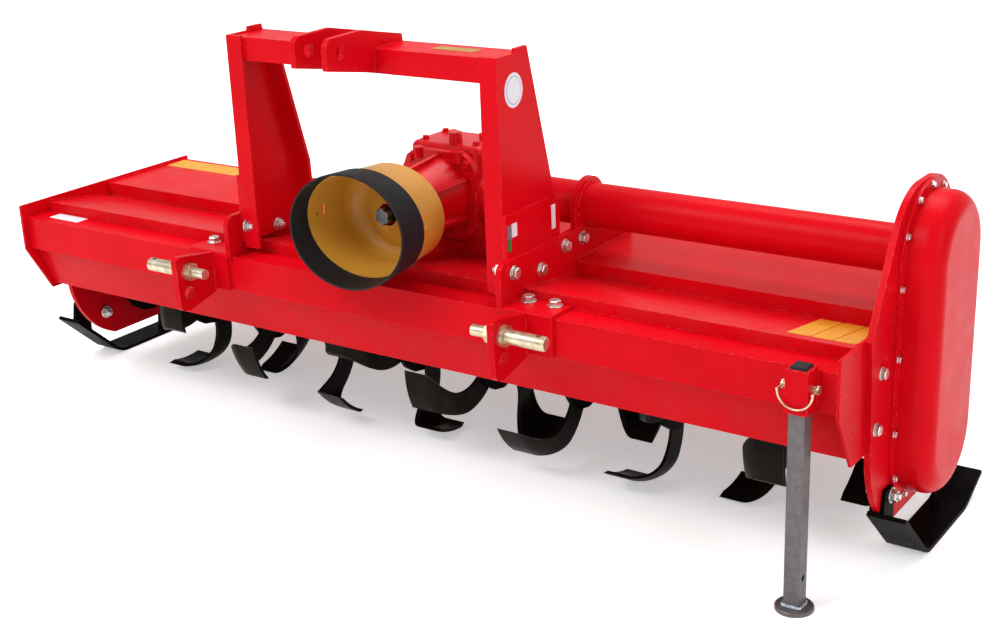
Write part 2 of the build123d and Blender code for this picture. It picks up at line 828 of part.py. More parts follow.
sleeve_far = sleeve_front - 2 * (sleeve_lean + sleeve_turn) * guard_half_w
sleeve_edge = Plane(
    origin=(input_x, sleeve_front, input_z), x_dir=(1, -sleeve_turn, 0), z_dir=(-sleeve_turn, -1, sleeve_lean)
)
with BuildPart() as guard_sleeve:
    add(guard_cone(sleeve_far, sleeve_rear, seat_gap + sleeve_wall))
    add(guard_cone(sleeve_far - 1, sleeve_rear + 1, seat_gap), mode=Mode.SUBTRACT)
    split(bisect_by=sleeve_edge, keep=Keep.BOTTOM)
save(guard_sleeve.part, "guard_sleeve")

with BuildPart() as pto_shaft:
    with BuildSketch(facing(shaft_tip)):
        with Locations((input_x, input_z)):
            Circle(shaft_r)
            with PolarLocations(shaft_r, 6):
                Rectangle(2 * shaft_spline_depth, shaft_spline_w, mode=Mode.SUBTRACT)
    extrude(amount=-(neck_front - nose_reach - shaft_tip))
    with BuildSketch(facing(neck_front - nose_reach)):
        with Locations((input_x, input_z)):
            Circle(shaft_r)
    extrude(amount=-(shaft_rear - neck_front + nose_reach))
save(pto_shaft.part, "pto_shaft")

# ---------------------------------------------------------------- parking leg
socket_bottom = socket_top - socket_height
leg_pin_z = socket_top - leg_pin_drop
with BuildPart() as leg_socket:
    with BuildSketch(Plane.XY.offset(socket_bottom)):
        with Locations((leg_x, leg_y)):
            Rectangle(socket_side, socket_side)
            Rectangle(leg_side + 2 * leg_play, leg_side + 2 * leg_play, mode=Mode.SUBTRACT)
    extrude(amount=socket_height)
    with BuildSketch(across(leg_x - socket_side / 2)):
        with Locations((leg_y, leg_pin_z)):
            Circle(leg_pin_r + seat_gap)
    extrude(amount=socket_side, mode=Mode.SUBTRACT)
save(leg_socket.part, "leg_socket")

with BuildPart() as parking_leg:
    with BuildSketch(Plane.XY.offset(leg_foot_t)):
        with Locations((leg_x, leg_y)):
            Rectangle(leg_side, leg_side)
            Rectangle(leg_side - 2 * leg_wall, leg_side - 2 * leg_wall, mode=Mode.SUBTRACT)
    extrude(amount=leg_top - leg_foot_t)
    with BuildSketch(across(leg_x - leg_side / 2)):
        with Locations((leg_y, leg_pin_z), (leg_y, leg_pin_z - leg_travel)):
            Circle(leg_pin_r + seat_gap)
    extrude(amount=leg_side, mode=Mode.SUBTRACT)
save(parking_leg.part, "parking_leg")

with BuildPart() as leg_foot:
    with BuildSketch():
        with Locations((leg_x, leg_y)):
            Circle(leg_foot_r)
    extrude(amount=leg_foot_t)
    chamfer(leg_foot.faces().sort_by(Axis.Z)[-1].edges(), length=leg_edge)
save(leg_foot.part, "leg_foot")

with BuildPart() as leg_cap:
    with BuildSketch(Plane.XY.offset(leg_top)):
        with Locations((leg_x, leg_y)):
            Rectangle(leg_side, leg_side)
    extrude(amount=leg_cap_t)
    chamfer(leg_cap.faces().sort_by(Axis.Z)[-1].edges(), length=leg_edge)
save(leg_cap.part, "leg_cap")

# The pin's two ends sit in the socket's walls, and a sprung wire clip joins them round the front.
clip_y = leg_y - socket_side / 2 - clip_gap
clip_half = socket_side / 2 + leg_pin_stand - clip_wire_r
with BuildPart() as leg_pin:
    for side in (-1, 1):
        with BuildSketch(across(leg_x + side * (leg_side / 2 + 2 * leg_play))):
            with Locations((leg_y, leg_pin_z)):
                Circle(leg_pin_r)
        extrude(amount=side * (socket_wall - leg_play + leg_pin_stand))
        with BuildSketch(across(leg_x + side * (socket_side / 2 + leg_pin_stand - 2 * clip_wire_r))):
            with Locations((leg_y, leg_pin_z)):
                Circle(leg_pin_head_r)
        extrude(amount=side * 2 * clip_wire_r)
    with BuildSketch(facing(leg_y)):
        with Locations((leg_x - clip_half, leg_pin_z), (leg_x + clip_half, leg_pin_z)):
            Circle(clip_wire_r * 1.2)
    extrude(amount=leg_y - clip_y + clip_wire_r)
    with BuildSketch(Plane.XY.offset(leg_pin_z)):
        with Locations((leg_x - clip_half, clip_y)):
            Circle(clip_wire_r)
    revolve(axis=Axis((leg_x, clip_y, leg_pin_z), (0, -1, 0)), revolution_arc=180)
save(leg_pin.part, "leg_pin")

# ---------------------------------------------------------------- skids
skid_line = [
    (skid_front_y, skid_front_z),
    (skid_heel_y, 0),
    (skid_tail_y, 0),
    (skid_end_y, skid_end_z),
]
front_slope = atan2(skid_front_z, skid_heel_y - skid_front_y)


def skid(start):
    """Runner of flat bar, turned up at both ends."""
    with BuildPart() as piece:
        with BuildSketch(across(start)):
            with BuildLine():
                FilletPolyline(*skid_line, radius=skid_bend_r)
                offset(amount=skid_t, side=Side.LEFT, kind=Kind.INTERSECTION)
            make_face()
        extrude(amount=skid_width)
    return piece.part


# Each skid hangs from two lugs astride the side plate in front, and from a link at its tail.
lug_seat = [
    (
        skid_front_y + (skid_heel_y - skid_front_y) * share + skid_t * sin(front_slope),
        skid_front_z * (1 - share) + skid_t * cos(front_slope),
    )
    for share in lug_seat_shares
]
lug_line = [
    *lug_seat,
    (lug_bolt_y + lug_r, lug_bolt_z),
    (lug_bolt_y, lug_bolt_z + lug_r),
    (lug_bolt_y - lug_brow, lug_bolt_z + lug_r),
]
link_foot_y = skid_tail_y - tail_foot_ahead


def spaced_bolt(side, start, offset, y, z):
    """Bolt along X from start through the side plate to offset outside it, with a spacer on that stretch."""
    with BuildPart() as bolt:
        with BuildSketch(across(side * start)):
            with Locations((y, z)):
                Circle(skid_bolt_r)
        extrude(amount=side * (side_outer + offset - start))
        if offset:
            with BuildSketch(across(side * side_outer)):
                with Locations((y, z)):
                    Circle(spacer_r)
            extrude(amount=side * offset)
    return bolt.part


def skid_lugs(side, offset):
    """Front lugs and bolt of one skid, the outer lug standing off the side plate by offset."""
    starts = [side_outer + offset]
    if not offset:
        starts.append(side_inner - lug_t)
    bolt = spaced_bolt(side, side_inner - lug_t, offset, lug_bolt_y, lug_bolt_z)
    with BuildPart() as piece:
        for start in starts:
            with BuildSketch(across(side * start)):
                with BuildLine():
                    Polyline(*lug_line, close=True)
                make_face()
                with Locations((lug_bolt_y, lug_bolt_z)):
                    Circle(lug_r)
            extrude(amount=side * lug_t)
        add(bolt)
    return piece.part


def skid_link(side, offset):
    """Upright link from the tail of one skid to the side plate."""
    bolt = spaced_bolt(side, side_inner, offset, tail_bolt_y, tail_bolt_z)
    with BuildPart() as piece:
        with BuildSketch(across(side * (side_outer + offset))):
            with BuildLine():
                Polyline(
                    (tail_bolt_y - tail_link_w / 2, tail_bolt_z),
                    (link_foot_y - tail_link_w / 2, skid_t),
                    (link_foot_y + tail_link_w / 2, skid_t),
                    (tail_bolt_y + tail_link_w / 2, tail_bolt_z),
                    close=True,
                )
            make_face()
            with Locations((tail_bolt_y, tail_bolt_z)):
                Circle(tail_link_w / 2)
        extrude(amount=side * tail_link_t)
        add(bolt)
    return piece.part


for name, side, offset_out in (("left", -1, skid_offset_left), ("right", 1, 0.0)):
    save(skid(skid_inner if side > 0 else -skid_outer - offset_out), f"skid_{name}")
    save(skid_lugs(side, offset_out), f"skid_lugs_{name}")
    save(skid_link(side, offset_out), f"skid_link_{name}")

# ---------------------------------------------------------------- rotor
flange_pitch = 2 * (rotor_tube_half - flange_end) / (flange_count - 1)
flange_x = [flange_pitch * (i - (flange_count - 1) / 2) for i in range(flange_count)]
with BuildPart() as rotor_tube:
    with BuildSketch(across(-rotor_tube_half)):
        with Locations((rotor_y, rotor_z)):
            Circle(rotor_tube_r)
    extrude(amount=2 * rotor_tube_half)
    for x in flange_x:
        with BuildSketch(across(x - flange_t / 2)):
            with Locations((rotor_y, rotor_z)):
                RegularPolygon(radius=flange_r, side_count=16)
        extrude(amount=flange_t)
    with BuildSketch(across(-rotor_tube_half)):
        with Locations((rotor_y, rotor_z)):
            Circle(rotor_tube_r - rotor_tube_wall)
    extrude(amount=2 * rotor_tube_half, mode=Mode.SUBTRACT)
save(rotor_tube.part, "rotor_tube")

with BuildPart() as rotor_stubs:
    for side in (-1, 1):
        for start, length, radius in (
            (rotor_tube_half, stub_flange_t, stub_flange_r),
            (rotor_tube_half, side_outer + bearing_reach - 2 * bearing_cap_t - rotor_tube_half, stub_r),
        ):
            with BuildSketch(across(side * start)):
                with Locations((rotor_y, rotor_z)):
                    Circle(radius)
            extrude(amount=side * length)
save(rotor_stubs.part, "rotor_stubs")


def blade(side):
    """One sickle blade on the rotor's axis, its root against x = 0 and its wing bent to one side."""
    inner = tip_radius - blade_t
    root = blade_bolt_r - blade_root / 2
    with BuildPart() as piece:
        # Bent section: shank, bend and wing, swept about the rotor's axis.
        start = Plane(origin=(0, 0, 0), x_dir=(1, 0, 0), z_dir=Vector(0, 0, 1).rotate(Axis.X, blade_sweep_start))
        with BuildSketch(start) as section:
            with BuildLine():
                Polyline(
                    (0, root),
                    (side * blade_t, root),
                    (side * blade_t, inner),
                    (side * blade_wing, inner),
                    (side * blade_wing, tip_radius),
                    (0, tip_radius),
                    close=True,
                )
            make_face()
            fillet([v for v in section.vertices() if near_any(v, [(0, tip_radius)])], radius=blade_bend_r)
            hollow = [v for v in section.vertices() if near_any(v, [(side * blade_t, inner)])]
            fillet(hollow, radius=blade_bend_r - blade_t)
        revolve(axis=Axis.X, revolution_arc=blade_sweep)
        # Sickle outline seen along the rotor.
        with BuildSketch(across(-blade_wing)):
            with BuildLine():
                lead_root = (blade_root_shift + blade_root / 2, root)
                trail_root = (blade_root_shift - blade_root / 2, root)
                ThreePointArc(lead_root, blade_lead_mid, blade_lead_neck)
                Polyline(blade_lead_neck, blade_lead_tip, blade_trail_tip)
                ThreePointArc(blade_trail_tip, blade_trail_mid, trail_root)
                Line(trail_root, lead_root)
            make_face()
        extrude(amount=2 * blade_wing, mode=Mode.INTERSECT)
    return piece.part


blade_shapes = {-1: blade(-1), 1: blade(1)}
for name, side in (("blades_left_hand", -1), ("blades_right_hand", 1)):
    with BuildPart() as blades:
        # The end flanges carry only the blades that turn inwards.
        for i, x in enumerate(flange_x):
            inward = 0 <= i + side < flange_count
            for j in range(blades_per_flange // 2 if inward else 0):
                turn = helix_step * i + 360 / blades_per_flange * (2 * j + (side > 0))
                place = Location((x + side * flange_t / 2, rotor_y, rotor_z)) * Location((0, 0, 0), (turn, 0, 0))
                add(blade_shapes[side].moved(place))
    save(blades.part, name)

# ---------------------------------------------------------------- rear board
hinge_lug_pitch = 2 * (board_half - hinge_lug_inset) / (hinge_lug_count - 1)
lug_positions = [hinge_lug_pitch * (i - (hinge_lug_count - 1) / 2) for i in range(hinge_lug_count)]
with BuildPart() as board_hinge:
    with BuildSketch(across(-board_half)):
        with Locations((hinge_y, hinge_z)):
            Circle(hinge_rod_r)
    extrude(amount=2 * board_half)
    for x in lug_positions:
        with BuildSketch(across(x - hinge_lug_t / 2)):
            with Locations((hinge_y, hinge_z)):
                Circle(hinge_barrel_r)
            with Locations(((hood_rear + hinge_y) / 2, hinge_z)):
                Rectangle(hinge_y - hood_rear, 2 * hinge_barrel_r)
        extrude(amount=hinge_lug_t)
save(board_hinge.part, "board_hinge")

board_line = [
    (hinge_y, hinge_z - hinge_barrel_r + board_sheet / 2),
    (board_knee_y, board_knee_z),
    (board_low_y, board_low_z),
    (board_lip_y, board_lip_z),
]
with BuildPart() as rear_board:
    with BuildSketch(across(-board_half)):
        with BuildLine():
            Polyline(*board_line)
            offset(amount=board_sheet, side=Side.LEFT, kind=Kind.INTERSECTION)
        make_face()
        with Locations((hinge_y, hinge_z)):
            Circle(hinge_barrel_r)
    extrude(amount=2 * board_half)
    with BuildSketch(across(-board_half)):
        with Locations((hinge_y, hinge_z)):
            Circle(hinge_rod_r + running_gap)
    extrude(amount=2 * board_half, mode=Mode.SUBTRACT)
    for x in lug_positions:
        with BuildSketch(across(x - hinge_lug_t / 2 - hinge_lug_play)):
            with Locations((hinge_y, hinge_z)):
                Circle(hinge_barrel_r + hinge_lug_play)
        extrude(amount=hinge_lug_t + 2 * hinge_lug_play, mode=Mode.SUBTRACT)
save(rear_board.part, "rear_board")
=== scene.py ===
"""Looks of the rotary tiller: paint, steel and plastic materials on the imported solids, and the bolts,
welds, blank stickers and small fittings around them. Metres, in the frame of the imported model."""
import math
import random

import bmesh
import bpy
from mathutils import Matrix, Vector


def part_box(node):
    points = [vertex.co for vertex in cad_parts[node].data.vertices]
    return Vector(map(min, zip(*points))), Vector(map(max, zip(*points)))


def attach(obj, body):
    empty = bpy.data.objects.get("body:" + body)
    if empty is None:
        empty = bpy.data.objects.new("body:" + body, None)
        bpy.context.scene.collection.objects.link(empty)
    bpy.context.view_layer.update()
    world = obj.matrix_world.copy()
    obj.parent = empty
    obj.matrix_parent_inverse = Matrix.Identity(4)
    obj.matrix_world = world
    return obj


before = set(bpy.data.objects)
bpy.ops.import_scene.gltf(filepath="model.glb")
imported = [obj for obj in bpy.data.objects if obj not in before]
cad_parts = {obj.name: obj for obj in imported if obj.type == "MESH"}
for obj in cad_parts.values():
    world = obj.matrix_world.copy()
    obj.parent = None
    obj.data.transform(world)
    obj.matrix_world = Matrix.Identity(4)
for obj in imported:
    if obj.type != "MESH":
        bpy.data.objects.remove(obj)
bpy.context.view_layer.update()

# ---------------------------------------------------------------- anchors read from the frame
BEAM_LO, BEAM_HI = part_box("front_beam")
MID_X = (BEAM_LO.x + BEAM_HI.x) / 2
FACE_Y = BEAM_LO.y
MM = 0.001


def at(x, y, z):
    """Point from millimetres: width from the middle, depth behind the beam's face, height over the ground."""
    return Vector((MID_X + x * MM, FACE_Y + y * MM, z * MM))


def face(node, side):
    """Coordinate of one face of a node's box in millimetres from the anchors: side is like '-x' or '+z'."""
    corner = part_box(node)[side[0] == "+"]
    local = (corner - Vector((MID_X, FACE_Y, 0))) / MM
    return {"x": local.x, "y": local.y, "z": local.z}[side[1]]


# ---------------------------------------------------------------- node helpers for the materials
class Nodes:
    """Short way to build one material's node tree."""

    def __init__(self, name):
        self.material = bpy.data.materials.new(name)
        self.material.use_nodes = True
        self.tree = self.material.node_tree
        self.tree.nodes.clear()
        self.output = self.tree.nodes.new("ShaderNodeOutputMaterial")
        self.shader = self.tree.nodes.new("ShaderNodeBsdfPrincipled")
        self.link(self.shader.outputs[0], self.output.inputs["Surface"])
        self.coords = self.tree.nodes.new("ShaderNodeTexCoord").outputs["Object"]

    def link(self, source, target):
        self.tree.links.new(source, target)

    def value(self, **settings):
        for key, setting in settings.items():
            self.shader.inputs[key.replace("_", " ").title()].default_value = setting

    def noise(self, scale, detail=4.0, roughness=0.55, stretch=None):
        node = self.tree.nodes.new("ShaderNodeTexNoise")
        node.inputs["Scale"].default_value = scale
        node.inputs["Detail"].default_value = detail
        node.inputs["Roughness"].default_value = roughness
        if stretch:
            mapping = self.tree.nodes.new("ShaderNodeMapping")
            mapping.inputs["Scale"].default_value = stretch
            self.link(self.coords, mapping.inputs["Vector"])
            self.link(mapping.outputs[0], node.inputs["Vector"])
        else:
            self.link(self.coords, node.inputs["Vector"])
        return node.outputs["Fac"]

    def cells(self, scale):
        node = self.tree.nodes.new("ShaderNodeTexVoronoi")
        node.inputs["Scale"].default_value = scale
        self.link(self.coords, node.inputs["Vector"])
        return node.outputs["Distance"]

    def ramp(self, source, *stops):
        """Colour ramp through (position, colour) stops; a colour may be one grey value."""
        node = self.tree.nodes.new("ShaderNodeValToRGB")
        elements = node.color_ramp.elements
        while len(elements) < len(stops):
            elements.new(0.5)
        for element, (position, colour) in zip(elements, stops):
            element.position = position
            grey = isinstance(colour, (int, float))
            element.color = (colour, colour, colour, 1) if grey else (*colour, 1)
        self.link(source, node.inputs["Fac"])
        return node.outputs["Color"]

    def mix(self, factor, first, second, blend="MIX"):
        """Mix of two colours; each may be a socket or a plain colour."""
        node = self.tree.nodes.new("ShaderNodeMix")
        node.data_type = "RGBA"
        node.blend_type = blend
        sockets = (node.inputs["Factor"], node.inputs[6], node.inputs[7])
        for socket, source in zip(sockets, (factor, first, second)):
            if isinstance(source, bpy.types.NodeSocket):
                self.link(source, socket)
            elif isinstance(source, (int, float)):
                socket.default_value = source
            else:
                socket.default_value = (*source, 1)
        return node.outputs[2]

    def edges(self, radius, low=0.02, high=0.25):
        """White near sharp edges: how far a rounded normal turns away from the true one."""
        bevel = self.tree.nodes.new("ShaderNodeBevel")
        bevel.samples = 6
        bevel.inputs["Radius"].default_value = radius
        geometry = self.tree.nodes.new("ShaderNodeNewGeometry")
        dot = self.tree.nodes.new("ShaderNodeVectorMath")
        dot.operation = "DOT_PRODUCT"
        self.link(bevel.outputs[0], dot.inputs[0])
        self.link(geometry.outputs["Normal"], dot.inputs[1])
        return self.ramp(dot.outputs["Value"], (1 - high, 1.0), (1 - low, 0.0))

    def bump(self, *layers):
        """Bump from (height socket, strength, distance in metres) layers, one on top of another."""
        normal = None
        for height, strength, distance in layers:
            node = self.tree.nodes.new("ShaderNodeBump")
            node.inputs["Strength"].default_value = strength
            node.inputs["Distance"].default_value = distance
            self.link(height, node.inputs["Height"])
            if normal:
                self.link(normal, node.inputs["Normal"])
            normal = node.outputs[0]
        self.link(normal, self.shader.inputs["Normal"])

    def colour(self, socket):
        self.link(socket, self.shader.inputs["Base Color"])

    def roughness(self, socket):
        self.link(socket, self.shader.inputs["Roughness"])

    def sheen_of_surface(self, level):
        """How strongly the bare surface mirrors its surroundings, 0.5 being plain glass."""
        self.shader.inputs["Specular IOR Level"].default_value = level


def paint_material(name, base, dark, worn_and_highlight, wear_and_highlight=0.5, gloss=0.24, peel=0.06, dust=0.0, shine=0.055):
    """Glossy machine paint: slight patchiness, orange peel, lighter edges that are partly rubbed wear and
    partly a painted highlight, and a film of dust.
    """
    n = Nodes(name)
    patches = n.mix(n.ramp(n.noise(4.5, 5), (0.35, 0.0), (0.7, 1.0)), base, dark)
    # Lighter colour along sharp edges, broken into patches: partly rubbed paint, partly a painted highlight
    # for edges that catch the light.
    edge_patches = n.ramp(n.noise(140, 6, 0.65), (0.50, 0.0), (0.62, wear_and_highlight))
    wear_and_highlight_mask = n.mix(1.0, n.edges(0.0022), edge_patches, "MULTIPLY")
    colour = n.mix(wear_and_highlight_mask, patches, worn_and_highlight)
    if dust:
        film = n.ramp(n.noise(9, 7, 0.7), (0.42, 0.0), (0.75, dust))
        colour = n.mix(film, colour, (0.42, 0.30, 0.27))
    n.colour(colour)
    n.roughness(n.ramp(n.noise(16, 5, 0.6), (0.3, gloss), (0.75, gloss + 0.16)))
    n.bump((n.noise(260, 2), peel, 0.0008), (n.noise(22, 4), 0.08, 0.002))
    n.sheen_of_surface(shine)
    return n.material


def steel_material(name, bright, dull, tint=None, rough=0.32, grain=(1, 1, 1), metallic=0.9):
    """Plated or bare steel: cloudy plating, fine grain and small dull spots."""
    n = Nodes(name)
    cloud = n.ramp(n.noise(55, 6, 0.6), (0.35, 0.0), (0.68, 1.0))
    colour = n.mix(cloud, bright, dull)
    if tint:
        colour = n.mix(n.ramp(n.noise(30, 5), (0.45, 0.0), (0.7, 0.75)), colour, tint)
    n.colour(colour)
    n.roughness(n.ramp(n.noise(90, 5, 0.7, grain), (0.3, rough), (0.75, rough + 0.22)))
    n.bump((n.noise(420, 3, 0.6, grain), 0.12, 0.0004), (n.noise(60, 5), 0.1, 0.001))
    n.value(metallic=metallic)
    return n.material


RED = (0.68, 0.002, 0.009)
RED_DARK = (0.58, 0.0015, 0.007)
# Lighter pinkish red of the edges: partly worn paint, partly a painted highlight.
RED_WORN_AND_HIGHLIGHT = (0.92, 0.30, 0.30)
MATERIALS = {
    "paint": paint_material("red_paint", RED, RED_DARK, RED_WORN_AND_HIGHLIGHT, wear_and_highlight=0.5),
    "paint_hood": paint_material("red_paint_hood", RED, RED_DARK, RED_WORN_AND_HIGHLIGHT, wear_and_highlight=0.6, dust=0.04),
    # The cast housing's red is lighter than the other red to make up for the shade it sits in behind the
    # tower: painted light.
    "paint_cast_lightened": paint_material(
        "red_paint_cast", (0.76, 0.004, 0.012), (0.56, 0.002, 0.008), RED_WORN_AND_HIGHLIGHT,
        wear_and_highlight=0.7, gloss=0.2, peel=0.5, shine=0.2,
    ),
    "paint_black": paint_material(
        "black_paint", (0.004, 0.003, 0.0025), (0.002, 0.0015, 0.001), (0.05, 0.045, 0.04),
        wear_and_highlight=0.6, gloss=0.36, peel=0.15, shine=0.02,
    ),
}


def blade_material():
    """Dark quenched steel of the blades, with brown heat marks and lighter cutting edges."""
    n = Nodes("blade_steel")
    heat = n.ramp(
        n.noise(14, 6, 0.65),
        (0.42, (0.006, 0.005, 0.005)), (0.62, (0.014, 0.009, 0.006)), (0.8, (0.030, 0.018, 0.011)),
    )
    n.colour(n.mix(n.edges(0.0016, 0.02, 0.3), heat, (0.11, 0.10, 0.09)))
    n.roughness(n.ramp(n.noise(40, 5), (0.3, 0.3), (0.75, 0.52)))
    n.bump((n.noise(300, 4, 0.6), 0.2, 0.0005), (n.noise(35, 4), 0.15, 0.001))
    n.sheen_of_surface(0.05)
    return n.material


def bowl_material():
    """Moulded ochre plastic of the guard: soft mottling, scuffs and a satin skin."""
    n = Nodes("guard_ochre")
    base = n.mix(n.ramp(n.noise(11, 5), (0.35, 0.0), (0.7, 1.0)), (0.63, 0.31, 0.040), (0.54, 0.26, 0.028))
    scuffs = n.ramp(n.noise(70, 8, 0.75, (1, 6, 1)), (0.62, 0.0), (0.72, 0.3))
    n.colour(n.mix(scuffs, base, (0.62, 0.40, 0.16)))
    n.roughness(n.ramp(n.noise(18, 4), (0.3, 0.30), (0.75, 0.46)))
    n.bump((n.noise(500, 3), 0.08, 0.0004))
    n.sheen_of_surface(0.35)
    return n.material


def rubber_material(name="sleeve_rubber", tone=0.012, rough=0.42):
    """Black rubber with a grey bloom."""
    n = Nodes(name)
    bloom = n.ramp(n.noise(13, 7, 0.7), (0.4, 0.0), (0.8, 0.5))
    n.colour(n.mix(bloom, (tone, tone, tone * 1.15), (tone * 2.2, tone * 2.1, tone * 2.5)))
    n.roughness(n.ramp(n.noise(26, 5), (0.3, rough), (0.75, rough + 0.18)))
    n.bump((n.noise(340, 3), 0.15, 0.0004))
    n.sheen_of_surface(0.12)
    return n.material


def galvanised_material():
    """Zinc-coated square tube: spangle, long drawing marks and a few dull stains."""
    n = Nodes("galvanised")
    spangle = n.ramp(n.cells(90), (0.0, 0.0), (0.75, 1.0))
    colour = n.mix(spangle, (0.165, 0.148, 0.152), (0.125, 0.11, 0.114))
    stains = n.ramp(n.noise(24, 7, 0.7, (1, 1, 0.25)), (0.5, 0.0), (0.72, 0.4))
    n.colour(n.mix(stains, colour, (0.10, 0.075, 0.073)))
    n.roughness(n.ramp(n.noise(200, 4, 0.6, (1, 1, 0.05)), (0.3, 0.34), (0.75, 0.5)))
    n.bump((n.noise(300, 3, 0.6, (1, 1, 0.04)), 0.12, 0.0004))
    n.value(metallic=0.35)
    n.sheen_of_surface(0.3)
    return n.material


def label_material(name, base, tint):
    """Printed vinyl of a plain sticker: slightly uneven ink, a little grime and a satin film."""
    n = Nodes(name)
    ink = n.mix(n.ramp(n.noise(60, 4), (0.4, 0.0), (0.7, 1.0)), base, tint)
    grime = n.ramp(n.noise(120, 7, 0.7), (0.58, 0.0), (0.75, 0.35))
    n.colour(n.mix(grime, ink, (0.16, 0.12, 0.10)))
    n.roughness(n.ramp(n.noise(45, 3), (0.3, 0.34), (0.75, 0.48)))
    n.bump((n.noise(200, 2), 0.05, 0.0003))
    n.sheen_of_surface(0.2)
    return n.material


MATERIALS["blade"] = blade_material()
MATERIALS["bowl"] = bowl_material()
MATERIALS["rubber"] = rubber_material()
MATERIALS["cap"] = rubber_material("cap_plastic", 0.016, 0.35)
MATERIALS["galvanised"] = galvanised_material()
MATERIALS["pin"] = steel_material(
    "plated_steel", (0.72, 0.66, 0.52), (0.45, 0.38, 0.26), (0.60, 0.44, 0.18), rough=0.26
)
MATERIALS["bolt"] = steel_material("zinc_steel", (0.78, 0.76, 0.74), (0.50, 0.47, 0.45), rough=0.22)
MATERIALS["shaft"] = steel_material("dark_steel", (0.16, 0.155, 0.16), (0.05, 0.048, 0.05), rough=0.3)
MATERIALS["weld_zinc"] = steel_material("weld_zinc", (0.62, 0.68, 0.76), (0.30, 0.33, 0.38), rough=0.24)
MATERIALS["white_label"] = label_material("white_label", (0.80, 0.82, 0.86), (0.70, 0.74, 0.82))
MATERIALS["blue_label"] = label_material("blue_label", (0.36, 0.44, 0.66), (0.46, 0.54, 0.72))
MATERIALS["grey_label"] = label_material("grey_label", (0.16, 0.14, 0.18), (0.22, 0.18, 0.22))
MATERIALS["green_label"] = label_material("green_label", (0.05, 0.22, 0.04), (0.04, 0.17, 0.03))
MATERIALS["yellow_label"] = label_material("yellow_label", (0.74, 0.36, 0.03), (0.66, 0.28, 0.02))
MATERIALS["gold_label"] = label_material("gold_label", (0.46, 0.26, 0.05), (0.36, 0.16, 0.03))

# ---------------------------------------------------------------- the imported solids
DRESS = {
    "paint_hood": ["hood_panel", "front_apron", "rear_board"],
    "paint": [
        "front_beam", "end_plate_left", "end_plate_right", "side_plate_left", "side_plate_right",
        "drive_case_cover", "drive_tube", "rotor_bearing_left", "rotor_bearing_right", "main_bracket_left",
        "main_bracket_right", "tower_doubler_left", "tower_doubler_right", "tower_left", "tower_right",
        "tower_crossbar", "top_link_clevis", "hitch_strap_left", "hitch_strap_right", "hitch_plate_left",
        "hitch_plate_right", "leg_socket", "board_hinge",
    ],
    "paint_cast_lightened": ["gearbox_housing", "gearbox_neck", "gearbox_plugs"],
    "paint_black": [
        "skid_left", "skid_right", "skid_lugs_left", "skid_lugs_right", "skid_link_left", "skid_link_right",
        "rotor_tube", "rotor_stubs",
    ],
    "blade": ["blades_left_hand", "blades_right_hand"],
    "pin": ["hitch_pin_left", "hitch_pin_right", "leg_pin"],
    "bowl": ["guard_bowl"],
    "rubber": ["guard_sleeve"],
    "shaft": ["pto_shaft"],
    "galvanised": ["parking_leg", "leg_foot"],
    "cap": ["leg_cap"],
}
EDGE_ROUND = {
    "gearbox_housing": 0.003, "gearbox_neck": 0.002, "gearbox_plugs": 0.0012, "pto_shaft": 0.0006,
    "leg_pin": 0.0, "guard_bowl": 0.0012, "guard_sleeve": 0.0015, "drive_case_cover": 0.0016,
    "blades_left_hand": 0.0014, "blades_right_hand": 0.0014, "hood_panel": 0.0016, "front_beam": 0.004,
}


def round_edges(piece, width, segments=2, angle=32):
    """Small rounded edges that catch the light."""
    if width:
        bevel = piece.modifiers.new("edge", "BEVEL")
        bevel.width = width
        bevel.segments = segments
        bevel.limit_method = "ANGLE"
        bevel.angle_limit = math.radians(angle)
        bevel.use_clamp_overlap = True
        bevel.harden_normals = True


def shade_smooth(mesh, angle=32):
    """Smooth shading, with creases kept sharp."""
    for polygon in mesh.polygons:
        polygon.use_smooth = True
    mesh.set_sharp_from_angle(angle=math.radians(angle))


for material, nodes in DRESS.items():
    for node in nodes:
        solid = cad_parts[node]
        solid.data.materials.clear()
        solid.data.materials.append(MATERIALS[material])
        shade_smooth(solid.data)
        round_edges(solid, EDGE_ROUND.get(node, 0.0018))


# ---------------------------------------------------------------- building new pieces
def new_piece(name, bm, material, body, edge=0.0, smooth=True):
    """Mesh object from bmesh data, dressed and riding on a body."""
    mesh = bpy.data.meshes.new(name)
    bmesh.ops.recalc_face_normals(bm, faces=bm.faces)
    bm.to_mesh(mesh)
    bm.free()
    piece = bpy.data.objects.new(name, mesh)
    bpy.context.scene.collection.objects.link(piece)
    mesh.materials.append(MATERIALS[material])
    if smooth:
        shade_smooth(mesh)
    round_edges(piece, edge)
    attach(piece, body)
    return piece


def frame_of(axis):
    """Rotation whose Z is the given axis."""
    return Vector(axis).normalized().to_track_quat("Z", "Y").to_matrix().to_4x4()


def add_lathe(bm, place, profile, sides, turn=0.0):
    """Rings of radius r at height h round the place's Z axis, closed at both ends."""
    rings = []
    for r, h in profile:
        ring = []
        for i in range(sides):
            a = turn + 2 * math.pi * i / sides
            ring.append(bm.verts.new(place @ Vector((r * math.cos(a), r * math.sin(a), h))))
        rings.append(ring)
    for low, high in zip(rings, rings[1:]):
        for i in range(sides):
            bm.faces.new((low[i], low[(i + 1) % sides], high[(i + 1) % sides], high[i]))
    bm.faces.new(list(reversed(rings[0])))
    bm.faces.new(rings[-1])


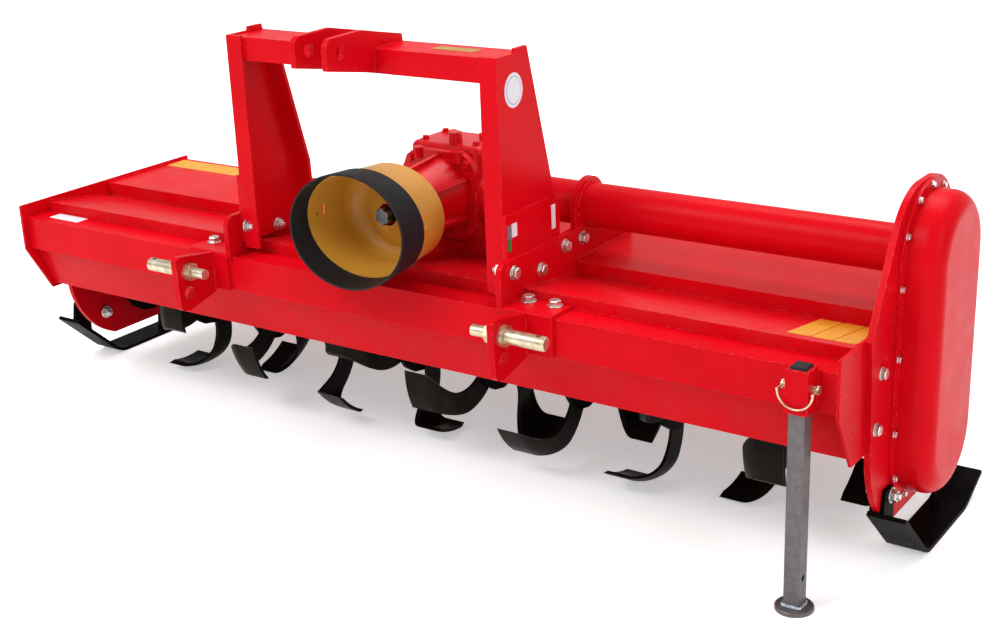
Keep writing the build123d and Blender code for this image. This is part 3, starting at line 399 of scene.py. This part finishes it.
def add_bolt(bm, point, axis, flats, turn=0.3, washer=True, stem=0.0):
    """Hexagon head with a chamfered top on a washer, and a threaded stem where the bolt's end shows."""
    place = Matrix.Translation(point) @ frame_of(axis)
    base = 0.0
    if washer:
        base = 0.12 * flats
        rim = 0.72 * flats
        add_lathe(bm, place, [(rim, 0), (rim, base * 0.7), (rim * 0.96, base)], 20)
    height = 0.46 * flats
    corner = flats / math.sqrt(3)
    head = [
        (corner * 0.97, base),
        (corner, base + 0.08 * height),
        (corner, base + 0.82 * height),
        (corner * 0.86, base + height),
    ]
    add_lathe(bm, place, head, 6, turn)
    if stem:
        radius = flats * 0.32
        pitch = radius * 0.28
        rows = [(radius * 0.9, base + height * 0.9)]
        while rows[-1][1] < base + height + stem:
            h = rows[-1][1]
            rows += [(radius, h + pitch * 0.3), (radius * 0.88, h + pitch)]
        rows.append((radius * 0.6, rows[-1][1] + pitch * 0.5))
        add_lathe(bm, place, rows, 14)


def bolt_group(name, places, flats, body="frame", slot="plated_pins", material="bolt", **style):
    """One piece made of like bolts at (point, axis) places."""
    bm = bmesh.new()
    for i, (point, axis) in enumerate(places):
        add_bolt(bm, point, axis, flats, turn=0.3 + 0.7 * i, **style)
    return new_piece(name, bm, material, body, edge=flats * 0.02)


def add_bead(bm, points, radius, pitch=0.004, seed=1, sides=8):
    """Weld bead: a lumpy rope of overlapping drops along a line of points."""
    rng = random.Random(seed)
    rings = []
    for start, end in zip(points, points[1:]):
        run = end - start
        steps = max(2, int(run.length / (pitch / 2)))
        turn = frame_of(run)
        for i in range(steps + (end is points[-1])):
            swell = 0.82 + 0.2 * (i % 2) + rng.uniform(-0.07, 0.07)
            sway = Vector((rng.uniform(-0.1, 0.1) * radius, 0, 0))
            centre = start + run * (i / steps) + turn.to_3x3() @ sway
            ring = []
            for k in range(sides):
                a = 2 * math.pi * k / sides
                offset = Vector((math.cos(a), math.sin(a), 0)) * radius * swell
                ring.append(bm.verts.new(centre + turn.to_3x3() @ offset))
            rings.append(ring)
    for low, high in zip(rings, rings[1:]):
        for k in range(sides):
            bm.faces.new((low[k], low[(k + 1) % sides], high[(k + 1) % sides], high[k]))
    bm.faces.new(list(reversed(rings[0])))
    bm.faces.new(rings[-1])


def weld(name, lines, radius=0.003, pitch=0.005, body="frame"):
    """Painted weld beads along one or more lines of points."""
    bm = bmesh.new()
    for i, line in enumerate(lines):
        add_bead(bm, line, radius, pitch, seed=i + 1)
    return new_piece(name, bm, "paint", body)


def rounded(corners, radius, steps=5):
    """Flat outline with each corner rounded."""
    points = []
    for i, corner in enumerate(corners):
        start = corner + (corners[i - 1] - corner).normalized() * radius
        end = corner + (corners[(i + 1) % len(corners)] - corner).normalized() * radius
        for k in range(steps + 1):
            t = k / steps
            points.append(start * (1 - t) ** 2 + corner * 2 * t * (1 - t) + end * t ** 2)
    return points


def add_label(name, outline, normal, material, lift=0.0001, thick=0.0005):
    """Thin blank sticker on a flat face: its outline lies on the face, and normal points off it."""
    bm = bmesh.new()
    off = Vector(normal).normalized()
    low = [bm.verts.new(point + off * lift) for point in outline]
    high = [bm.verts.new(point + off * (lift + thick)) for point in outline]
    bm.faces.new(high)
    bm.faces.new(list(reversed(low)))
    for i, corner in enumerate(low):
        j = (i + 1) % len(low)
        bm.faces.new((corner, low[j], high[j], high[i]))
    new_piece(name, bm, material, "frame", smooth=False)


# ---------------------------------------------------------------- bolts
TO_RIGHT, TO_LEFT, UPWARD, TO_FRONT = (1, 0, 0), (-1, 0, 0), (0, 0, 1), (0, -1, 0)


def across(x, places, axis):
    """Bolt places on an upright face at x, from (depth, height) pairs."""
    return [(at(x, y, z), axis) for y, z in places]


def middle(node, axis):
    """Middle of a node's box along one axis, in millimetres from the anchors."""
    return (face(node, "-" + axis) + face(node, "+" + axis)) / 2


def ring_of(count, radius, y, z, start=30):
    """(depth, height) pairs of a ring of bolts, from a start angle in degrees."""
    turns = [math.radians(start + 360 / count * i) for i in range(count)]
    return [(y + radius * math.cos(a), z + radius * math.sin(a)) for a in turns]


ROTOR_Y, ROTOR_Z = 320, 216
TOWER_WALL = 8
BRACKET_BOLTS = [(36, 514), (131, 493), (220, 517), (286, 516)]
bolt_group("bracket_bolts_right", across(face("main_bracket_right", "+x"), BRACKET_BOLTS, TO_RIGHT), 0.020)
bolt_group("bracket_bolts_left", across(face("main_bracket_left", "-x"), BRACKET_BOLTS, TO_LEFT), 0.020)
for name, out, back, inward in (("left", "-x", "+x", TO_RIGHT), ("right", "+x", "-x", TO_LEFT)):
    web = face(f"tower_{name}", out) + inward[0] * TOWER_WALL
    nuts = across(web, BRACKET_BOLTS[:2], inward)
    nuts += across(face(f"main_bracket_{name}", back), BRACKET_BOLTS[3:], inward)
    bolt_group(f"tower_nuts_{name}", nuts, 0.020, stem=0.005)

STRAP_BOLT_Y, STRAP_BOLT_HALF = 46, 30
strap_places = [
    (at(middle(strap, "x") + shift, STRAP_BOLT_Y, face(strap, "+z")), UPWARD)
    for strap in ("hitch_strap_left", "hitch_strap_right")
    for shift in (-STRAP_BOLT_HALF, STRAP_BOLT_HALF)
]
bolt_group("strap_bolts", strap_places, 0.022)
PLATE_BOLTS_RIGHT = [(138, 408), (121, 308)]
PLATE_BOLTS_LEFT = [(138, 300), (502, 300), (160, 350), (480, 350)]
bolt_group(
    "side_plate_bolts_right", across(face("side_plate_right", "+x"), PLATE_BOLTS_RIGHT, TO_RIGHT), 0.018
)
bolt_group("side_plate_bolts_left", across(face("side_plate_left", "-x"), PLATE_BOLTS_LEFT, TO_LEFT), 0.018)

# Screws round the lip of the drive case's cover, along the middle of the lip.
LIP_MIDDLE, LIP_THICK = 8, 8
CASE_Y = middle("drive_case_cover", "y")
CASE_RING = face("drive_case_cover", "+y") - CASE_Y - LIP_MIDDLE
CASE_TOP_Z = face("drive_case_cover", "+z") - CASE_RING - LIP_MIDDLE
CASE_LOW_Z = face("drive_case_cover", "-z") + CASE_RING + LIP_MIDDLE
screws = [(CASE_Y + side * CASE_RING, z) for side in (-1, 1) for z in (546, 416, 272)]
for turn in (28, 62, 90, 118, 152):
    a = math.radians(turn)
    screws.append((CASE_Y + CASE_RING * math.cos(a), CASE_TOP_Z + CASE_RING * math.sin(a)))
    screws.append((CASE_Y + CASE_RING * math.cos(a), CASE_LOW_Z - CASE_RING * math.sin(a)))
bolt_group("cover_screws", across(face("side_plate_right", "+x") + LIP_THICK, screws, TO_RIGHT), 0.010)

# Skids: heads and nuts of the bolts through lugs and links.
LUG_BOLT, LINK_BOLT = (196, 151), (478, 190)
for name, out, back, outward, inward in (
    ("left", "-x", "+x", TO_LEFT, TO_RIGHT),
    ("right", "+x", "-x", TO_RIGHT, TO_LEFT),
):
    places = across(face(f"skid_lugs_{name}", out), [LUG_BOLT], outward)
    places += across(face(f"skid_lugs_{name}", back), [LUG_BOLT], inward)
    places += across(face(f"skid_link_{name}", out), [LINK_BOLT], outward)
    bolt_group(f"skid_bolts_{name}", places, 0.022, slot="skid_black", stem=0.004)

# Bearing of the rotor at the open end: a ring of bolts and a grease nipple.
BEARING_FLANGE_T, BEARING_BOLT_R = 12, 59
bearing_ring = ring_of(6, BEARING_BOLT_R, ROTOR_Y, ROTOR_Z)
bolt_group(
    "bearing_bolts_left",
    across(face("side_plate_left", "-x") - BEARING_FLANGE_T, bearing_ring, TO_LEFT),
    0.014,
)
NIPPLE = [
    (0.005, 0), (0.005, 0.004), (0.003, 0.005), (0.003, 0.008), (0.0042, 0.010), (0.003, 0.013),
    (0.001, 0.014),
]
nipple = bmesh.new()
nipple_place = Matrix.Translation(at(face("rotor_bearing_left", "-x"), ROTOR_Y, ROTOR_Z)) @ frame_of(TO_LEFT)
add_lathe(nipple, nipple_place, NIPPLE, 12)
new_piece("grease_nipple", nipple, "bolt", "frame")

# Gearbox: bolts of its face, output flanges, lid and feet, and a hexagon on the breather.
GEAR_X = middle("gearbox_housing", "x")
SHAFT_Z = middle("gearbox_neck", "z")
GEAR_FACE_Y = 245
OUTPUT_REACH, OUTPUT_BOLT_R = 109, 62
FOOT_T = 12
# The gearbox bolts take the same lightened red, painted light against the tower's shade.
cast = {"slot": "gearbox_red", "material": "paint_cast_lightened"}
face_places = [
    (at(GEAR_X + sx * 73, GEAR_FACE_Y, SHAFT_Z + sz * 71), TO_FRONT) for sx in (-1, 1) for sz in (-1, 1)
]
bolt_group("gearbox_face_bolts", face_places, 0.015, **cast)
flange_places = []
for y, z in ring_of(6, OUTPUT_BOLT_R, ROTOR_Y, SHAFT_Z):
    flange_places.append((at(GEAR_X + OUTPUT_REACH, y, z), TO_RIGHT))
    flange_places.append((at(GEAR_X - OUTPUT_REACH, y, z), TO_LEFT))
bolt_group("gearbox_flange_bolts", flange_places, 0.012, **cast)
lid_z = face("gearbox_plugs", "-z")
lid_places = [(at(GEAR_X + sx * 66, y, lid_z), UPWARD) for sx in (-1, 1) for y in (292, 364)]
bolt_group("gearbox_lid_bolts", lid_places, 0.013, **cast)
foot_z = face("hood_panel", "+z") + FOOT_T
foot_places = [(at(GEAR_X + sx * 100, y, foot_z), UPWARD) for sx in (-1, 1) for y in (290, 330, 370)]
bolt_group("gearbox_foot_bolts", foot_places, 0.012)
breather = at(GEAR_X + 16, 288, face("gearbox_housing", "+z") + 2)
bolt_group("breather_cap", [(breather, UPWARD)], 0.022, washer=False, **cast)

# ---------------------------------------------------------------- welds
HOOD_RUN = [(68, 475), (262, 444)]
RIDGE_RUN = [(260, 476), (486, 476)]
for name in ("left", "right"):
    bracket = f"main_bracket_{name}"
    lines = []
    for side in ("-x", "+x"):
        x = face(bracket, side)
        lines += [[at(x, *point) for point in run] for run in (HOOD_RUN, RIDGE_RUN)]
    weld(f"bracket_weld_{name}", lines)
    plate = f"hitch_plate_{name}"
    weld(
        f"hitch_weld_{name}",
        [[at(face(plate, side), -8, 370), at(face(plate, side), -8, 452)] for side in ("-x", "+x")],
    )
BAR_LOW, BAR_HIGH = face("tower_crossbar", "-z"), face("tower_crossbar", "+z")
BAR_FRONT = face("tower_crossbar", "-y")
TOWER_LIPS = (face("tower_left", "+x"), face("tower_right", "-x"))
weld("crossbar_weld", [[at(x, BAR_FRONT, BAR_LOW + 2), at(x, BAR_FRONT, BAR_HIGH - 2)] for x in TOWER_LIPS])
clevis_sides = (face("top_link_clevis", "-x"), face("top_link_clevis", "+x"))
weld(
    "clevis_weld",
    [[at(x, BAR_FRONT, BAR_LOW + 2), at(x, BAR_FRONT, BAR_HIGH), at(x, 130, BAR_HIGH)] for x in clevis_sides],
)
end_runs = [
    [at(face("hood_panel", side), *point) for point in run]
    for side in ("-x", "+x")
    for run in (HOOD_RUN, RIDGE_RUN)
]
weld("end_plate_weld", end_runs)
EYE_R = 46
eye_x = face("main_bracket_right", "+x")
turns = [math.radians(15 * i) for i in range(25)]
eye = [at(eye_x, ROTOR_Y + EYE_R * math.cos(a), SHAFT_Z + EYE_R * math.sin(a)) for a in turns]
weld("eye_weld", [eye])
SOCKET = [face("leg_socket", side) for side in ("-x", "+x")]
weld("socket_weld", [[at(x, -1, 384), at(x, -1, 446)] for x in SOCKET])
LEG_HALF, FOOT_TOP = 16, 10
leg_x, leg_y = middle("parking_leg", "x"), middle("parking_leg", "y")
square = ((-1, -1), (1, -1), (1, 1), (-1, 1), (-1, -1))
foot_loop = [at(leg_x + sx * LEG_HALF, leg_y + sy * LEG_HALF, FOOT_TOP) for sx, sy in square]
foot_bead = bmesh.new()
add_bead(foot_bead, foot_loop, 0.0045, 0.008, seed=9, sides=10)
new_piece("foot_weld", foot_bead, "weld_zinc", "leg")


# ---------------------------------------------------------------- blank stickers
def on_web(x, y_low, y_high, z_low, z_high):
    """Corners of a rectangle on an upright face that looks sideways."""
    return [at(x, y_low, z_low), at(x, y_high, z_low), at(x, y_high, z_high), at(x, y_low, z_high)]


def on_top(z, x_low, x_high, y_low, y_high):
    """Corners of a rectangle on a level face."""
    return [at(x_low, y_low, z), at(x_high, y_low, z), at(x_high, y_high, z), at(x_low, y_high, z)]


def oval(x, y, z, half_y, half_z, steps=40):
    """Outline of an oval on an upright face that looks sideways."""
    turns = [2 * math.pi * i / steps for i in range(steps)]
    return [at(x, y + half_y * math.cos(a), z + half_z * math.sin(a)) for a in turns]


WEB_X = face("tower_right", "+x")
OVAL_Y, OVAL_Z = 86, 854
for name, half_y, half_z, material, lift, thick in (
    ("oval_label", 30, 33, "white_label", 0.0001, 0.0005),
    ("oval_label_ring", 24, 27, "blue_label", 0.0007, 0.0002),
    ("oval_label_heart", 22, 25, "white_label", 0.0010, 0.0002),
):
    add_label(name, oval(WEB_X, OVAL_Y, OVAL_Z, half_y, half_z), TO_RIGHT, material, lift, thick)
FOOT_X = face("tower_doubler_right", "+x")
for name, edges, material in (
    ("grey_label", (37, 51, 576, 603), "grey_label"),
    ("pale_label", (52, 70, 577, 604), "white_label"),
    ("green_label", (37, 50, 552, 575), "green_label"),
    ("strip_label", (192, 206, 557, 606), "white_label"),
):
    add_label(name, rounded(on_web(FOOT_X, *edges), 0.001), TO_RIGHT, material)
BEAM_LABEL_Z, RIDGE_LABEL_Z = 450, 475
for name, z, edges, radius, material in (
    ("gold_label", BAR_HIGH, (142, 240, 82, 114), 0.003, "gold_label"),
    ("pale_beam_label", BEAM_LABEL_Z, (-978, -882, 26, 60), 0.003, "white_label"),
    ("yellow_ridge_label", RIDGE_LABEL_Z, (-1016, -776, 450, 512), 0.004, "yellow_label"),
):
    add_label(name, rounded(on_top(z, *edges), radius), UPWARD, material)
SLOPE = (HOOD_RUN[1][1] - HOOD_RUN[0][1]) / (HOOD_RUN[1][0] - HOOD_RUN[0][0])


def hood_z(y):
    """Height of the hood's sloping sheet at a depth."""
    return HOOD_RUN[0][1] - 1 + (y - HOOD_RUN[0][0] + 1) * SLOPE


for name, x_low, x_high in (("a", 882, 926), ("b", 928, 968), ("c", 970, 1010)):
    corners = [at(x, y, hood_z(y)) for x, y in ((x_low, 96), (x_high, 96), (x_high, 246), (x_low, 246))]
    add_label(f"yellow_hood_label_{name}", rounded(corners, 0.004), (0, -SLOPE, 1), "yellow_label")


# ---------------------------------------------------------------- floor, light and camera
def diffuse_floor():
    """White floor that keeps the shadows near the machine and fades to plain white further out."""
    n = Nodes("floor_white")
    n.colour(n.ramp(n.noise(0.8, 2), (0.3, 0.92), (0.7, 0.95)))
    n.value(roughness=0.9)
    n.sheen_of_surface(0.1)
    reach = n.tree.nodes.new("ShaderNodeVectorMath")
    reach.operation = "LENGTH"
    n.link(n.coords, reach.inputs[0])
    fade = n.tree.nodes.new("ShaderNodeMapRange")
    fade.inputs["From Min"].default_value = 1.2
    fade.inputs["From Max"].default_value = 3.2
    fade.inputs["To Min"].default_value = 0.42
    fade.inputs["To Max"].default_value = 0.9
    n.link(reach.outputs["Value"], fade.inputs["Value"])
    lit = n.tree.nodes.new("ShaderNodeEmission")
    n.link(fade.outputs["Result"], lit.inputs["Strength"])
    path = n.tree.nodes.new("ShaderNodeLightPath")
    seen = n.tree.nodes.new("ShaderNodeMath")
    seen.operation = "MAXIMUM"
    n.link(path.outputs["Is Camera Ray"], seen.inputs[0])
    n.link(path.outputs["Is Glossy Ray"], seen.inputs[1])
    both = n.tree.nodes.new("ShaderNodeAddShader")
    only_seen = n.tree.nodes.new("ShaderNodeMixShader")
    n.link(seen.outputs[0], only_seen.inputs["Fac"])
    n.link(n.shader.outputs[0], only_seen.inputs[1])
    n.link(n.shader.outputs[0], both.inputs[0])
    n.link(lit.outputs[0], both.inputs[1])
    n.link(both.outputs[0], only_seen.inputs[2])
    n.link(only_seen.outputs[0], n.output.inputs["Surface"])
    return n.material


def build_floor():
    bm = bmesh.new()
    bmesh.ops.create_grid(bm, x_segments=1, y_segments=1, size=14)
    mesh = bpy.data.meshes.new("floor")
    bm.to_mesh(mesh)
    bm.free()
    floor = bpy.data.objects.new("floor", mesh)
    mesh.materials.append(diffuse_floor())
    bpy.context.scene.collection.objects.link(floor)


def build_world():
    world = bpy.data.worlds.new("studio")
    bpy.context.scene.world = world
    world.use_nodes = True
    tree = world.node_tree
    tree.nodes.clear()
    soft = tree.nodes.new("ShaderNodeBackground")
    soft.inputs["Color"].default_value = (1, 0.99, 0.98, 1)
    soft.inputs["Strength"].default_value = 0.65
    white = tree.nodes.new("ShaderNodeBackground")
    white.inputs["Color"].default_value = (1, 1, 1, 1)
    path = tree.nodes.new("ShaderNodeLightPath")
    mix = tree.nodes.new("ShaderNodeMixShader")
    output = tree.nodes.new("ShaderNodeOutputWorld")
    tree.links.new(path.outputs["Is Camera Ray"], mix.inputs["Fac"])
    tree.links.new(soft.outputs[0], mix.inputs[1])
    tree.links.new(white.outputs[0], mix.inputs[2])
    tree.links.new(mix.outputs[0], output.inputs["Surface"])


def area_light(name, position, target, size, power, colour=(1, 1, 1)):
    light = bpy.data.lights.new(name, "AREA")
    light.shape = "RECTANGLE"
    light.size, light.size_y = size
    light.energy = power
    light.color = colour
    lamp = bpy.data.objects.new(name, light)
    bpy.context.scene.collection.objects.link(lamp)
    lamp.location = position
    lamp.rotation_euler = (Vector(target) - Vector(position)).to_track_quat("-Z", "Y").to_euler()


def build_lights():
    aim = (0, 0, 0.4)
    area_light("key", (-1.6, -3.2, 4.2), aim, (3.0, 2.0), 142)
    area_light("side", (4.6, -1.4, 2.4), aim, (2.4, 2.4), 42)
    area_light("top", (0.4, 1.6, 4.0), aim, (3.5, 2.0), 90)


CAMERA_PLACE = at(1937, -2280, 1437)
CAMERA_AZIMUTH = math.radians(35.08)
CAMERA_ELEVATION = math.radians(19.82)
CAMERA_ROLL = math.radians(-2.24)
CAMERA_LENS = 55.87


def build_camera():
    a, e, roll = CAMERA_AZIMUTH, CAMERA_ELEVATION, CAMERA_ROLL
    forward = Vector((-math.sin(a) * math.cos(e), math.cos(a) * math.cos(e), -math.sin(e)))
    level = Vector((math.cos(a), math.sin(a), 0))
    over = level.cross(forward)
    right = level * math.cos(roll) + over * math.sin(roll)
    up = over * math.cos(roll) - level * math.sin(roll)
    data = bpy.data.cameras.new("camera")
    data.sensor_width = 36
    data.lens = CAMERA_LENS
    camera = bpy.data.objects.new("camera", data)
    bpy.context.scene.collection.objects.link(camera)
    rotation = Matrix((right, up, -forward)).transposed().to_4x4()
    camera.matrix_world = Matrix.Translation(CAMERA_PLACE) @ rotation
    bpy.context.scene.camera = camera


build_floor()
build_world()
build_lights()
build_camera()
bpy.context.scene.view_settings.view_transform = "Standard"
